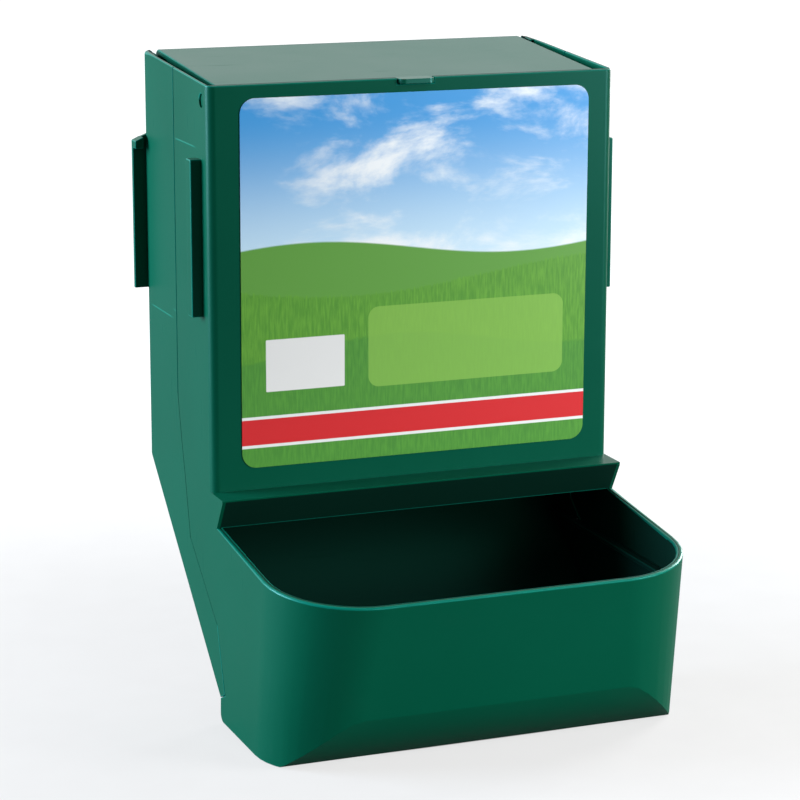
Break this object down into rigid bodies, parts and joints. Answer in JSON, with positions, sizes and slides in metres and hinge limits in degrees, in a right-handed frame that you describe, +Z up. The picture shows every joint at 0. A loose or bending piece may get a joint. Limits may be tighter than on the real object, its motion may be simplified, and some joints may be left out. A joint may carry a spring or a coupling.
{
  "type": "gravity bin feeder",
  "caption": "Two-shell gravity feeder for small animals, with a tall hopper, sloping chute, open front trough, hinged lid, sifter tray and clip-on cage bracket.",
  "frame": {"origin": "centre of the bounding box in plan, on the surface that the feeder stands on", "axes": "+X to the right seen from the front, +Y to the back, +Z up; the trough opens toward -Y"},
  "size_m": [0.1486, 0.1632, 0.2096],
  "materials": {
    "green_plastic": "satin moulded polypropylene, deep teal green",
    "dark_green_plastic": "matt moulded plastic, dark teal green",
    "printed_film": "printed plastic film label"
  },
  "bodies": {
    "bin": {"front_shell": "green_plastic", "rear_shell": "green_plastic", "sifter_tray": "dark_green_plastic", "label": "printed_film"},
    "lid": {"lid": "green_plastic"},
    "bracket": {"mounting_bracket": "green_plastic"}
  },
  "joints": [
    {"name": "lid_hinge", "type": "hinge", "parent": "bin", "child": "lid", "pos_m": [0, 0.0665, 0.2063], "axis": [-1, 0, 0], "range_deg": [0, 180]},
    {"name": "bracket_lift", "type": "slide", "parent": "bin", "child": "bracket", "axis": [0, 0, 1], "range_m": [0, 0.02]}
  ]
}
